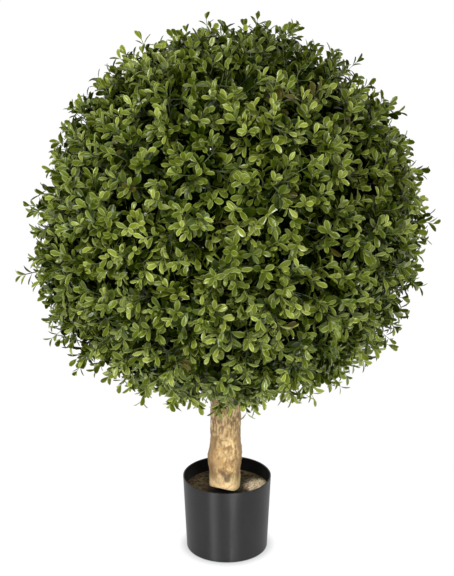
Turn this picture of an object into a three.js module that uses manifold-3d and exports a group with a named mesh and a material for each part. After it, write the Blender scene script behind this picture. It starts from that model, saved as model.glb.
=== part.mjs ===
// Artificial boxwood ball on a trunk, standing in a plain black pot that is filled up to a gritty top.
// Millimetres, +Z up. The origin is the centre of the pot's flat underside.
// The photograph looks along +Y.
import * as THREE from "three";
import { mergeVertices } from "three/addons/utils/BufferGeometryUtils.js";
import Module from "manifold-3d";

const wasm = await Module();
wasm.setup();

// Driving sizes
const FIT = 0.3;
const POT = { rim: 87.2, base: 80.4, height: 154.2, wall: 2.6, floor: 4, foot: 2.2, lip: 0.8, sides: 44 };
const SOIL = { top: 127.7 };
const TRUNK = {
  foot: { x: -4.6, y: 2 },
  head: { x: 0, y: 0 },
  girth: 29.4,
  tip: 20,
  bulge: 4.2,
  bulgeAt: 66,
  bulgeSpan: 23,
  flare: 1,
  flareFrom: 25,
  flareTo: 40,
  crook: 1.8,
  crookFrom: 60,
  crookTo: 95,
  taperFrom: 160,
  leanFrom: 0.15,
  sides: 14,
  rows: 22,
  rowsBunched: 1.7,
};
const KNOTS = [
  { turn: 4.95, above: 30, swell: 2.2, span: 13 },
  { turn: 0.35, above: 62, swell: 1.8, span: 15 },
  { turn: 2.6, above: 92, swell: 1.6, span: 17 },
];
const BALL = { z: 684, reach: 368, core: 299, wall: 10, sides: 26, outerRows: 7, innerRows: 5, seat: 3 };
const SPRAY = {
  count: 82,
  seed: 41,
  lean: 0.32,
  jitter: 0.05,
  spare: 0.045,
  equator: 0.08,
  trunkRoom: 4,
  sunk: 8,
  root: 5,
  end: 3,
  endOpen: 0.6,
};
const FORK = { share: 0.3, at: 0.45, length: 44, open: 1, root: 2, end: 1.7 };
const LEAF = {
  length: 62,
  width: 35,
  thick: 3,
  cup: 4,
  curl: 3.5,
  sunk: 1,
  widestAt: 0.56,
  thickestAt: 0.4,
  smallest: 0.88,
  sizeSpare: 0.24,
  openSpare: 0.2,
};
const PAIRS = [
  { below: 5, open: 0.85, turned: 1 },
  { below: 16, open: 1.15, turned: -1 },
];

// The sprigs that stand out furthest: the way they point and how far they reach from the centre
const STRAYS = [
  { way: [-0.966, -0.07, -0.247], reach: 421 },
  { way: [-1, 0, 0.01], reach: 390 },
  { way: [0.995, -0.02, -0.085], reach: 392 },
  { way: [0.971, 0.065, 0.23], reach: 391 },
  { way: [-0.084, 0.3, 0.95], reach: 380 },
  { way: [0.12, -0.98, 0.15], reach: 378 },
  { way: [-0.1, 0.985, -0.12], reach: 380 },
];

// Where the clipped ball swells out or falls in: the way, the share of the reach and how wide it spreads
const SWELLS = [
  { way: [-0.8, -0.19, -0.57], by: 0.06, span: 0.09 },
  { way: [-0.93, 0.1, 0.3], by: -0.036, span: 0.08 },
  { way: [-0.34, 0.29, 0.89], by: -0.02, span: 0.06 },
  { way: [0.64, 0.24, 0.73], by: 0.04, span: 0.08 },
  { way: [0.98, 0.05, 0.16], by: 0.045, span: 0.3 },
  { way: [0.77, -0.2, -0.61], by: 0.025, span: 0.09 },
  { way: [1, 0, 0], by: 0.058, span: 0.02 },
  { way: [0.39, 0.316, 0.865], by: 0.044, span: 0.025 },
  { way: [-0.259, -0.303, -0.917], by: -0.028, span: 0.03 },
  { way: [-0.99, -0.038, -0.116], by: 0.03, span: 0.03 },
  { way: [0.866, -0.157, -0.475], by: 0.022, span: 0.03 },
  { way: [0.139, -0.34, -0.93], by: -0.042, span: 0.02 },
  { way: [-0.469, 0.303, 0.829], by: 0.02, span: 0.012 },
  { way: [0.602, -0.274, -0.75], by: 0.024, span: 0.015 },
  { way: [0.809, 0.202, 0.552], by: -0.045, span: 0.01 },
  { way: [-0.99, 0.048, 0.131], by: 0.022, span: 0.01 },
  { way: [-0.087, 0.342, 0.936], by: -0.014, span: 0.012 },
];

const FORWARD = new THREE.Vector3(0, 1, 0);
const GOLDEN = Math.PI * (3 - Math.sqrt(5));

// A seeded run of numbers from 0 to 1
function seeded(seed) {
  let state = Math.imul(seed + 1, 2654435761) >>> 0;
  return () => {
    state = (Math.imul(state, 1664525) + 1013904223) >>> 0;
    return state / 4294967296;
  };
}

function bareGeometry(geometry) {
  const bare = geometry.clone();
  bare.deleteAttribute("normal");
  bare.deleteAttribute("uv");
  return mergeVertices(bare, 1e-4);
}

function toSolid(geometry) {
  const bare = bareGeometry(geometry);
  const places = new Float32Array(bare.attributes.position.array);
  const corners = new Uint32Array(bare.index.array);
  return new wasm.Manifold(new wasm.Mesh({ numProp: 3, vertProperties: places, triVerts: corners }));
}

function toGeometry(solid) {
  const mesh = solid.getMesh();
  const geometry = new THREE.BufferGeometry();
  const places = new Float32Array(mesh.numVert * 3);
  for (let i = 0; i < mesh.numVert; i += 1) {
    for (let axis = 0; axis < 3; axis += 1) {
      places[3 * i + axis] = mesh.vertProperties[mesh.numProp * i + axis];
    }
  }
  geometry.setAttribute("position", new THREE.BufferAttribute(places, 3));
  geometry.setIndex(new THREE.BufferAttribute(new Uint32Array(mesh.triVerts), 1));
  return geometry;
}

// A lathe turned about +Z from pairs of radius and height
function turned(profile, sides) {
  const lathe = new THREE.LatheGeometry(profile.map(([r, z]) => new THREE.Vector2(r, z)), sides);
  lathe.rotateX(Math.PI / 2);
  return bareGeometry(lathe);
}

function meshOf(name, geometry, color) {
  const mesh = new THREE.Mesh(geometry, new THREE.MeshStandardMaterial({ color, roughness: 0.7 }));
  mesh.name = name;
  return mesh;
}

// Pot: thin plain wall with a slight taper, small rounded lip and foot edge, flat underside
const potWall = (z) => POT.base + ((POT.rim - POT.base) * z) / POT.height;
const potInside = (z) => potWall(z) - POT.wall;

function potGeometry() {
  const top = POT.height;
  return turned(
    [
      [0, 0],
      [POT.base - POT.foot, 0],
      [POT.base - 0.3 * POT.foot, 0.3 * POT.foot],
      [potWall(POT.foot), POT.foot],
      [potWall(top - POT.lip), top - POT.lip],
      [potWall(top) - POT.lip, top],
      [potInside(top) + POT.lip, top],
      [potInside(top - POT.lip), top - POT.lip],
      [potInside(POT.floor), POT.floor],
      [0, POT.floor],
    ],
    POT.sides,
  );
}

// Fill: the whole inside of the pot up to the soil surface
function soilGeometry() {
  const low = POT.floor + FIT;
  return turned(
    [
      [0, low],
      [potInside(low) - FIT, low],
      [potInside(SOIL.top) - FIT, SOIL.top],
      [0, SOIL.top],
    ],
    POT.sides,
  );
}

// Trunk: a low bulge with a slight crook in it, a slow taper above and three knots, cut flat at the soil
const trunkFoot = SOIL.top + FIT;
const trunkTip = BALL.z + BALL.core - BALL.wall + BALL.seat;
const trunkShare = (z) => (z - trunkFoot) / (trunkTip - trunkFoot);

function trunkAxis(z) {
  const share = THREE.MathUtils.smoothstep(trunkShare(z), TRUNK.leanFrom, 1);
  const crook = TRUNK.crook * THREE.MathUtils.smoothstep(z - trunkFoot, TRUNK.crookFrom, TRUNK.crookTo);
  const x = THREE.MathUtils.lerp(TRUNK.foot.x, TRUNK.head.x, share) + crook;
  const y = THREE.MathUtils.lerp(TRUNK.foot.y, TRUNK.head.y, share);
  return new THREE.Vector2(x, y);
}

function trunkRadius(z) {
  const above = z - trunkFoot;
  const bulge = TRUNK.bulge * Math.exp(-(((above - TRUNK.bulgeAt) / TRUNK.bulgeSpan) ** 2));
  const taper = Math.max(0, above - TRUNK.taperFrom) / (trunkTip - trunkFoot - TRUNK.taperFrom);
  const flare = TRUNK.flare * (1 - THREE.MathUtils.smoothstep(above, TRUNK.flareFrom, TRUNK.flareTo));
  return THREE.MathUtils.lerp(TRUNK.girth, TRUNK.tip, taper) + bulge + flare;
}

function knotSwell(turn, above) {
  let swell = 0;
  for (const knot of KNOTS) {
    const apart = Math.atan2(Math.sin(turn - knot.turn), Math.cos(turn - knot.turn)) * TRUNK.girth;
    const gap = (apart ** 2 + (above - knot.above) ** 2) / knot.span ** 2;
    swell += knot.swell * Math.exp(-gap);
  }
  return swell;
}

function trunkGeometry(grown) {
  const tip = trunkTip + grown;
  const profile = [[0, trunkFoot - grown]];
  for (let row = 0; row <= TRUNK.rows; row += 1) {
    const share = (row / TRUNK.rows) ** TRUNK.rowsBunched;
    profile.push([1, THREE.MathUtils.lerp(trunkFoot - grown, tip, share)]);
  }
  profile.push([0, tip]);
  const geometry = turned(profile, TRUNK.sides);
  const places = geometry.attributes.position;
  for (let i = 0; i < places.count; i += 1) {
    const z = places.getZ(i);
    const unit = Math.hypot(places.getX(i), places.getY(i));
    const turn = Math.atan2(places.getY(i), places.getX(i));
    const radius = unit * (trunkRadius(z) + knotSwell(turn, z - trunkFoot) + grown);
    const axis = trunkAxis(z);
    places.setXY(i, axis.x + radius * Math.cos(turn), axis.y + radius * Math.sin(turn));
  }
  return geometry;
}

// Ball core: one half of a thin shell, closed at its pole, that the sprays stand out of
function shellArc(side, radius, rows) {
  const arc = [[radius, BALL.z + side * 0.5 * FIT]];
  for (let row = 1; row < rows; row += 1) {
    const rise = (0.5 * Math.PI * row) / rows;
    arc.push([radius * Math.cos(rise), BALL.z + side * radius * Math.sin(rise)]);
  }
  arc.push([0, BALL.z + side * radius]);
  return arc;
}

function coreGeometry(side) {
  const outer = shellArc(side, BALL.core, BALL.outerRows);
  const inner = shellArc(side, BALL.core - BALL.wall, BALL.innerRows).reverse();
  const profile = [...outer, ...inner, outer[0]];
  return turned(side > 0 ? profile : profile.reverse(), BALL.sides);
}

// A four-sided twig that narrows from its root to its end, turned by its own frame
function twigGeometry(from, frame, length, root, end) {
  const twig = new THREE.CylinderGeometry(end, root, length, 4, 1);
  twig.translate(0, 0.5 * length, 0);
  twig.applyQuaternion(frame);
  twig.translate(from.x, from.y, from.z);
  return twig;
}

// A twig's frame: its length points the given way, and its roll sets where its flat sides face
function twigFrame(way, roll) {
  const spin = new THREE.Quaternion().setFromAxisAngle(FORWARD, roll);
  return new THREE.Quaternion().setFromUnitVectors(FORWARD, way).multiply(spin);
}

const flatSide = (frame, turn) => new THREE.Vector3(turn, 0, 1).normalize().applyQuaternion(frame);

// A leaf of eight faces, widest past its middle, its sides cupped up and its tip curled
function leafGeometry(from, way, face, size, sunk) {
  const side = new THREE.Vector3().crossVectors(way, face).normalize();
  const up = new THREE.Vector3().crossVectors(side, way).normalize();
  const leaf = new THREE.OctahedronGeometry(1, 0);
  const places = leaf.attributes.position;
  for (let i = 0; i < places.count; i += 1) {
    const [x, y, z] = [places.getX(i), places.getY(i), places.getZ(i)].map(Math.round);
    const along = y ? 0.5 + 0.5 * y : LEAF.widestAt * Math.abs(x) + LEAF.thickestAt * Math.abs(z);
    const lift = Math.abs(x) * LEAF.cup + Math.max(y, 0) * LEAF.curl + 0.5 * z * LEAF.thick;
    const place = from.clone();
    place.addScaledVector(way, size * along * LEAF.length - sunk);
    place.addScaledVector(side, 0.5 * size * x * LEAF.width);
    place.addScaledVector(up, size * lift);
    places.setXYZ(i, place.x, place.y, place.z);
  }
  return leaf;
}

// True if every corner stays in its half of the ball and clear of the trunk
function inOwnSpace(geometry, side) {
  const places = geometry.attributes.position;
  for (let i = 0; i < places.count; i += 1) {
    const z = places.getZ(i);
    if (side * (z - BALL.z) < 2 * FIT) {
      return false;
    }
    const axis = trunkAxis(z);
    const apart = Math.hypot(places.getX(i) - axis.x, places.getY(i) - axis.y);
    if (z < BALL.z && apart < trunkRadius(z) + SPRAY.trunkRoom) {
      return false;
    }
  }
  return true;
}

function across(way, rand) {
  const loose = new THREE.Vector3(rand() - 0.5, rand() - 0.5, rand() - 0.5);
  return loose.addScaledVector(way, -loose.dot(way)).normalize();
}

function leaning(way, aside, angle) {
  return way.clone().multiplyScalar(Math.cos(angle)).addScaledVector(aside, Math.sin(angle)).normalize();
}

// The clipped ball's reach that way, as a share of its plain reach
function swell(out) {
  let share = 1;
  for (const place of SWELLS) {
    const near = out.dot(new THREE.Vector3(...place.way).normalize());
    share += place.by * Math.exp((near - 1) / place.span);
  }
  return share;
}

// Where each spray starts, the way it points and how far it reaches
function sprayPlan(k) {
  const rand = seeded(SPRAY.seed + k);
  const stray = STRAYS[k - SPRAY.count];
  const level = 1 - (2 * k + 1) / SPRAY.count;
  const ring = Math.sqrt(Math.max(0, 1 - level * level));
  const out = new THREE.Vector3(ring * Math.cos(GOLDEN * k), ring * Math.sin(GOLDEN * k), level);
  if (stray) {
    out.fromArray(stray.way);
  }
  out.normalize();
  out.addScaledVector(across(out, rand), stray ? 0 : SPRAY.jitter);
  const side = out.z < 0 ? -1 : 1;
  out.z = side * Math.max(Math.abs(out.z), SPRAY.equator);
  out.normalize();
  const way = leaning(out, across(out, rand), stray ? 0 : SPRAY.lean * rand());
  if (Math.abs(out.z) < 2 * SPRAY.equator) {
    way.z = side * Math.abs(way.z);
  }
  const clipped = BALL.reach * swell(out);
  const reach = stray ? stray.reach : clipped * (1 + SPRAY.spare * (2 * rand() - 1));
  return { rand, out, way, side, reach };
}

// A spray: a twig out of the core with two crossed pairs of leaves and an end leaf, and a fork with a leaf
function spraySolids(plan) {
  const { rand, out, way, side, reach } = plan;
  const pieces = [];
  const keep = (piece) => {
    const fits = inOwnSpace(piece, side);
    if (fits) {
      pieces.push(piece);
    }
    return fits;
  };
  const from = out.clone().multiplyScalar(BALL.core - SPRAY.sunk);
  from.z += BALL.z;
  const size = LEAF.smallest + LEAF.sizeSpare * rand();
  const length = reach - BALL.core + SPRAY.sunk - LEAF.length * size * Math.cos(SPRAY.endOpen);
  const frame = twigFrame(way, 2 * Math.PI * rand());
  const deep = flatSide(frame, -1);
  if (!keep(twigGeometry(from, frame, length, SPRAY.root, SPRAY.end))) {
    return pieces;
  }
  const endLeafWay = leaning(way, deep, SPRAY.endOpen);
  keep(leafGeometry(from.clone().addScaledVector(way, length), endLeafWay, deep, size, 3 * LEAF.sunk));
  for (const pair of PAIRS) {
    const start = from.clone().addScaledVector(way, length - pair.below);
    for (const turn of [-1, 1]) {
      const aside = flatSide(frame, pair.turned).multiplyScalar(turn);
      const leafWay = leaning(way, aside, pair.open + LEAF.openSpare * rand());
      keep(leafGeometry(start, leafWay, way, size, LEAF.sunk));
    }
  }
  if (rand() > FORK.share) {
    return pieces;
  }
  const forkFrom = from.clone().addScaledVector(way, SPRAY.sunk + FORK.at * (length - SPRAY.sunk));
  const forkAside = flatSide(frame, 1).multiplyScalar(rand() < 0.5 ? -1 : 1);
  const forkWay = leaning(way, forkAside, FORK.open);
  const forkFrame = twigFrame(forkWay, 0);
  if (keep(twigGeometry(forkFrom, forkFrame, FORK.length, FORK.root, FORK.end))) {
    const forkEnd = forkFrom.clone().addScaledVector(forkWay, FORK.length);
    keep(leafGeometry(forkEnd, leaning(forkWay, way, 0.1), way, size, 2 * LEAF.sunk));
  }
  return pieces;
}

// Assembly
const part = new THREE.Group();
part.name = "potted_boxwood_ball";
part.add(meshOf("pot", potGeometry(), 0x2e2e2e));
part.add(meshOf("soil", soilGeometry(), 0x6b5c46));
part.add(meshOf("trunk", trunkGeometry(0), 0xc4a26a));

const clearOfTrunk = toSolid(trunkGeometry(FIT));
const halves = { 1: toSolid(coreGeometry(1)).subtract(clearOfTrunk) };
halves[-1] = toSolid(coreGeometry(-1)).subtract(clearOfTrunk);
for (let k = 0; k < SPRAY.count + STRAYS.length; k += 1) {
  const plan = sprayPlan(k);
  for (const piece of spraySolids(plan)) {
    halves[plan.side] = halves[plan.side].add(toSolid(piece));
  }
}
part.add(meshOf("crown_lower", toGeometry(halves[-1]), 0x4f6a26));
part.add(meshOf("crown_upper", toGeometry(halves[1]), 0x587530));

export default part;
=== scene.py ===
"""Artificial boxwood ball tree in a black pot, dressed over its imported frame.

Metres, +Z up. The origin is the centre of the pot's underside, and the photograph looks along +Y.
"""
import math
from functools import partial
from types import SimpleNamespace as Row

import bpy
import numpy as np
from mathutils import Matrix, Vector, noise


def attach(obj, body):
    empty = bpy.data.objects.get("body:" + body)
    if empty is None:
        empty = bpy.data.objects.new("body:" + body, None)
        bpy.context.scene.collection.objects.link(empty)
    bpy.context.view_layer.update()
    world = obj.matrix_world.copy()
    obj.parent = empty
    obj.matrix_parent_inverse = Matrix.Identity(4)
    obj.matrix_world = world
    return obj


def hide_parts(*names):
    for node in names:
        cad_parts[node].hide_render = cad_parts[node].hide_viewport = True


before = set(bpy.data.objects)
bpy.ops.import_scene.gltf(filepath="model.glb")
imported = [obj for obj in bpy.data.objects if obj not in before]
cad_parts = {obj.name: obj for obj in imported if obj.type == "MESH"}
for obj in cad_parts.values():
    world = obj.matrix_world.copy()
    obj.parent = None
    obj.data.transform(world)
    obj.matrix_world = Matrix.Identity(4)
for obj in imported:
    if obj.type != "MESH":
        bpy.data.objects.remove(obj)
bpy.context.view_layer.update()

# Driving sizes, most of them the solids' own
MM = 0.001
TURN = 2 * math.pi


def in_mm(**sizes):
    """Named sizes in millimetres, kept as metres."""
    return Row(**{name: size * MM for name, size in sizes.items()})


POT = in_mm(rim=87.2, base=80.4, height=154.2, wall=2.6, floor=4, foot_round=2.4)
SOIL = in_mm(top=127.7, gap=0.3, calm=2)
TRUNK = in_mm(
    foot=128, tip=976, foot_x=-4.6, foot_y=2, girth=29.4, tip_girth=20, taper_from=160,
    bulge=4.2, bulge_at=66, bulge_span=23, flare=1, flare_from=25, flare_to=40,
    crook=1.8, crook_from=60, crook_to=95,
)
LEAN_FROM = 0.15
BALL_CENTRE = np.array([0.0, 0.0, 684 * MM])
BALL_REACH = 368 * MM
NET = in_mm(radius=292, thick=1.8, hole=42)
NET_OPEN = 0.36

# The source's spray rule, with the strays' reach in millimetres
SPRAY = Row(count=82, seed=41, lean=0.32, jitter=0.05, spare=0.045)
EQUATOR = 0.08
GOLDEN = math.pi * (3 - math.sqrt(5))
DRAW = Row(stride=2654435761, times=1664525, plus=1013904223, span=2**32)
STRAYS = [
    Row(way=(-0.966, -0.07, -0.247), reach=421),
    Row(way=(-1, 0, 0.01), reach=390),
    Row(way=(0.995, -0.02, -0.085), reach=392),
    Row(way=(0.971, 0.065, 0.23), reach=391),
    Row(way=(-0.084, 0.3, 0.95), reach=380),
    Row(way=(0.12, -0.98, 0.15), reach=378),
    Row(way=(-0.1, 0.985, -0.12), reach=380),
]
SWELLS = [
    Row(way=(-0.8, -0.19, -0.57), by=0.06, span=0.09),
    Row(way=(-0.93, 0.1, 0.3), by=-0.036, span=0.08),
    Row(way=(-0.34, 0.29, 0.89), by=-0.02, span=0.06),
    Row(way=(0.64, 0.24, 0.73), by=0.04, span=0.08),
    Row(way=(0.98, 0.05, 0.16), by=0.045, span=0.3),
    Row(way=(0.77, -0.2, -0.61), by=0.025, span=0.09),
    Row(way=(1, 0, 0), by=0.058, span=0.02),
    Row(way=(0.39, 0.316, 0.865), by=0.044, span=0.025),
    Row(way=(-0.259, -0.303, -0.917), by=-0.028, span=0.03),
    Row(way=(-0.99, -0.038, -0.116), by=0.03, span=0.03),
    Row(way=(0.866, -0.157, -0.475), by=0.022, span=0.03),
    Row(way=(0.139, -0.34, -0.93), by=-0.042, span=0.02),
    Row(way=(-0.469, 0.303, 0.829), by=0.02, span=0.012),
    Row(way=(0.602, -0.274, -0.75), by=0.024, span=0.015),
    Row(way=(0.809, 0.202, 0.552), by=-0.045, span=0.01),
    Row(way=(-0.99, 0.048, 0.131), by=0.022, span=0.01),
    Row(way=(-0.087, 0.342, 0.936), by=-0.014, span=0.012),
]

# Finer boughs, twigs and leaves
STEMS = Row(sunk=2 * MM, short=16 * MM, girth=1.7 * MM, bare=0.15, wide=0.8)
FINER = {"jitter": 0.03, "clump": 0.0, "girth": 1 * MM, "spare": 0.02, "shade": 0.0, "wide": 1.0}


def finer_wood(**own):
    """One kind of finer wood: its own values, and those that most kinds share."""
    return Row(**{**FINER, **own})


BOUGHS = finer_wood(count=420, short=28 * MM, depth=20 * MM, clump=0.03, girth=1.4 * MM, spare=0.035)
TWIGS = finer_wood(count=2300, short=12 * MM, depth=58 * MM, clump=0.14, jitter=0.022)
SPRIGS = finer_wood(count=200, short=-5 * MM, depth=16 * MM, jitter=0.06, wide=0.8)
INNER_TWIGS = finer_wood(count=1300, short=52 * MM, depth=14 * MM, girth=0.9 * MM, spare=0.0, shade=0.6)
SKIRT = Row(
    count=5, turn=4.45, spare=7 * MM, girth=1.0 * MM, tone=0.75, bare=0.45, wide=1.12,
    line=[(44 * MM, 289 * MM), (38 * MM, 362 * MM), (53 * MM, 364 * MM)],
)
FORK = Row(at=0.75, back=100 * MM, spare=0.1, least=0.05, most=0.85)
FURTHEST = 1.038
DEPTH_BIAS = 1.3
SIDEWAYS_FIRST = 0.7
PARENT_TONE = 0.6
TWIG = Row(bare=0.2, bend=3 * MM, seed=7, rings=6, sides=4, taper=0.5)
LOOSE_WAY = (0.31, 0.52, 0.8)
FLAT = Row(sprays=0.6, spare=0.2)
LEAF = in_mm(length=26.5, width=15.4, fold=2.2, curl=6.5, room=1.5)
LEAF_BEND = (0, 1.2)
LEAF_ROUGH = 0.13
LEAF_BUMP = (900, 0.25, 0.2 * MM)
LEAF_SIZE = Row(range=(0.82, 1.14), young=0.2)
LEAF_SLIM = Row(range=(0.85, 1.08), young=0.15)
LEAF_OPEN = Row(young=0.62, older=0.5, spare=0.15)
LEAF_LOOSE = Row(turn=0.25, aim=0.12, face=0.15)
LEAF_TONE = Row(least=0.13, twig=0.73, young=0.4, older=0.13, spare=0.15)
# Painted light on the lowest leaves of the ball.
PAINTED_LIGHT_BELOW = Row(by=0.42, start=0.65, end=0.95)
PAIRS = Row(from_tip=1 * MM, apart=13 * MM, first=0.7, range=(0.85, 1.15), young=3, fine=3)
BLUISH_SHARE = 0.012
BROWN_SHARE = 0.011
TINT_STEPS = [("deep", 0.3), ("mid", 0.62), ("bright", 1.0), ("fresh", 9.0)]
LEAF_TINTS = {
    "fresh": Row(blade=(0.195, 0.234, 0.02), rim=(0.345, 0.395, 0.14), gloss=0.34),
    "bright": Row(blade=(0.103, 0.137, 0.008), rim=(0.218, 0.26, 0.07), gloss=0.34),
    "mid": Row(blade=(0.048, 0.071, 0.0035), rim=(0.11, 0.142, 0.023), gloss=0.24),
    "deep": Row(blade=(0.016, 0.028, 0.001), rim=(0.043, 0.062, 0.005), gloss=0.165),
    "bluish": Row(blade=(0.075, 0.11, 0.022), rim=(0.16, 0.205, 0.07), gloss=0.35),
    "brown": Row(blade=(0.068, 0.06, 0.008), rim=(0.12, 0.106, 0.024), gloss=0.2),
}


# Small helpers
def unit(vector):
    vector = np.asarray(vector, float)
    return vector / np.maximum(np.linalg.norm(vector, axis=-1, keepdims=True), 1e-12)


def smooth_share(value, low, high):
    share = np.clip((value - low) / (high - low), 0, 1)
    return share * share * (3 - 2 * share)


def share_past(value, limits):
    return smooth_share(value, limits.start, limits.end)


def turns_round(count):
    return np.linspace(0, TURN, count, endpoint=False)


def placed(name, data):
    """A new object in the scene."""
    thing = bpy.data.objects.new(name, data)
    bpy.context.scene.collection.objects.link(thing)
    return thing


def mesh_object(name, places, triangles, materials, slots=None):
    """A smooth-shaded object of triangles from arrays."""
    mesh = bpy.data.meshes.new(name)
    mesh.from_pydata(np.reshape(places, (-1, 3)).tolist(), [], np.reshape(triangles, (-1, 3)).tolist())
    for material in materials:
        mesh.materials.append(material)
    if slots is not None:
        mesh.polygons.foreach_set("material_index", np.asarray(slots, np.int32))
    mesh.validate()
    mesh.shade_smooth()
    return placed(name, mesh)


def ring_triangles(rings, sides, start=0):
    """Triangles that join rings of points to each other, each ring closed on itself."""
    ring, side = np.meshgrid(np.arange(rings - 1), np.arange(sides), indexing="ij")
    a = start + ring * sides + side
    b = start + ring * sides + (side + 1) % sides
    lower = np.stack([a, b, b + sides], -1)
    upper = np.stack([a, b + sides, a + sides], -1)
    return np.concatenate([lower.reshape(-1, 3), upper.reshape(-1, 3)])


def closed_triangles(rings, sides):
    """Rings joined to each other and, at both ends, to a middle point: two that follow the rings."""
    side = np.arange(sides)
    after = (side + 1) % sides
    middle = rings * sides
    last = middle - sides
    bottom = np.stack([np.full(sides, middle), after, side], -1)
    top = np.stack([np.full(sides, middle + 1), last + side, last + after], -1)
    return np.concatenate([ring_triangles(rings, sides), bottom, top])


def add_share(thing, name, values):
    """Keep a share of a colour at each point, for the material to read."""
    share = thing.data.attributes.new(name, "FLOAT", "POINT")
    share.data.foreach_set("value", np.array(values, np.float32))


# Nodes
def feed(socket, value):
    """Give an input a plain value, or link it to what another node puts out."""
    if isinstance(value, bpy.types.NodeSocket):
        socket.id_data.links.new(value, socket)
    else:
        socket.default_value = value


def add_node(tree, kind, inputs, **settings):
    """What a new node with these inputs and settings puts out."""
    node = tree.nodes.new(kind)
    for name, value in settings.items():
        setattr(node, name, value)
    for name, value in inputs.items():
        feed(node.inputs[name], value)
    return node.outputs


def new_tree(name, kind, inputs, output):
    """A node tree, what comes into it, where it ends, and the identifiers of its inputs."""
    tree = bpy.data.node_groups.new(name, kind)
    names = {}
    for label, socket in inputs.items():
        made = tree.interface.new_socket(label, in_out="INPUT", socket_type=f"NodeSocket{socket}")
        names[label] = made.identifier
    tree.interface.new_socket(output, in_out="OUTPUT", socket_type=f"NodeSocket{output}")
    start = tree.nodes.new("NodeGroupInput")
    end = tree.nodes.new("NodeGroupOutput")
    return tree, start.outputs, end.inputs[0], names


# Materials
def mottle_group():
    """Soft blotches: a noise stretched along Z and pushed to a stronger contrast."""
    inputs = {"Scale": "Float", "Stretch": "Vector", "Low": "Float", "High": "Float"}
    group, start, end, _ = new_tree("mottle", "ShaderNodeTree", inputs, "Float")
    place = add_node(group, "ShaderNodeTexCoord", {})["Object"]
    stretched = {0: place, 1: start["Stretch"]}
    place = add_node(group, "ShaderNodeVectorMath", stretched, operation="MULTIPLY")["Vector"]
    blotches = {"Vector": place, "Scale": start["Scale"], "Detail": 5, "Roughness": 0.6}
    blotch = add_node(group, "ShaderNodeTexNoise", blotches)["Fac"]
    spread = {"Value": blotch, "From Min": start["Low"], "From Max": start["High"]}
    mask = add_node(group, "ShaderNodeMapRange", spread, interpolation_type="SMOOTHSTEP")["Result"]
    feed(end, mask)
    return group


MOTTLE = mottle_group()


def mottle(material, scale, stretch=(1, 1, 1), low=0.35, high=0.65):
    inputs = {"Scale": scale, "Stretch": stretch, "Low": low, "High": high}
    return add_node(material.node_tree, "ShaderNodeGroup", inputs, node_tree=MOTTLE)[0]


def mix_colour(material, mask, first, second):
    """A colour between two others, each plain or a socket, by a mask or the name of a piece's share."""
    if isinstance(mask, str):
        mask = add_node(material.node_tree, "ShaderNodeAttribute", {}, attribute_name=mask)["Fac"]
    inputs = {"Factor": mask}
    for label, colour in (("A", first), ("B", second)):
        inputs[label] = (*colour, 1) if isinstance(colour, tuple) else colour
    return add_node(material.node_tree, "ShaderNodeMix", inputs, data_type="RGBA")["Result"]


def principled(name, colour, roughness, specular, bump=None, stretch=(1, 1, 1)):
    """A material of one colour, and its shader's inputs. A bump is its scale, strength and depth."""
    material = bpy.data.materials.new(name)
    material.use_nodes = True
    shader = material.node_tree.nodes["Principled BSDF"].inputs
    feed(shader["Base Color"], (*colour, 1))
    feed(shader["Roughness"], roughness)
    feed(shader["Specular IOR Level"], specular)
    if bump:
        scale, strength, depth = bump
        inputs = {"Height": mottle(material, scale, stretch), "Strength": strength, "Distance": depth}
        feed(shader["Normal"], add_node(material.node_tree, "ShaderNodeBump", inputs)["Normal"])
    return material, shader


def mottled_material(name, dark, pale, scale, roughness, specular, bump):
    """Two colours in soft blotches."""
    material, shader = principled(name, pale, roughness, specular, bump)
    feed(shader["Base Color"], mix_colour(material, mottle(material, scale), dark, pale))
    return material


def wood_material():
    """Bare wood: brown in the hollows, paler on the ridges and the foot (partly painted light), darker at
    its marks, with painted shade down its sides.
    """
    bump = (380, 0.45, 0.5 * MM)
    material, shader = principled("trunk_wood", (0.6, 0.42, 0.2), 0.62, 0.25, bump, stretch=(1, 1, 0.3))
    blotches = mottle(material, 85, (1, 1, 0.7), 0.52, 0.66)
    fibres = mottle(material, 300, (1, 1, 0.1), 0.56, 0.74)
    colour = (0.25, 0.141, 0.047)
    for mask, tint in (
        ("ridge", (0.645, 0.48, 0.24)),
        (blotches, (0.42, 0.255, 0.088)),
        # painted shade: the trunk's sides darker, where the front light falls off round it
        ("painted_side_shade", (0.22, 0.13, 0.05)),
        # grey plates and smooth patch, and painted shade from the crown over the upper trunk
        ("grey", (0.31, 0.195, 0.088)),
        (fibres, (0.25, 0.155, 0.068)),
        # pale cream on the cut foot, partly its own colour and partly painted light; also pale flecks
        ("pale", (1.0, 0.77, 0.4)),
        ("knot", (0.11, 0.07, 0.042)),
    ):
        colour = mix_colour(material, mask, colour, tint)
    feed(shader["Base Color"], colour)
    return material


def soil_material():
    """Dark brown fill, pale sand in one place (partly painted light), and a painted black shadow in the
    dip round the trunk's foot.
    """
    material, shader = principled("gritty_fill", (0.03, 0.024, 0.012), 0.92, 0.2, (900, 0.8, 0.8 * MM))
    earth = mix_colour(material, mottle(material, 140), (0.012, 0.008, 0.0035), (0.105, 0.074, 0.034))
    # Pale sand: partly its own colour, partly a painted pool of light inside the shaded pot.
    sand_and_light = mix_colour(material, mottle(material, 300), (0.34, 0.235, 0.135), (0.84, 0.68, 0.47))
    colour = mix_colour(material, "sand_and_light", earth, sand_and_light)
    # Painted shadow: near black in the dip at the trunk's foot.
    colour = mix_colour(material, "painted_foot_shadow", colour, (0.004, 0.003, 0.002))
    feed(shader["Base Color"], colour)
    return material


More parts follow.
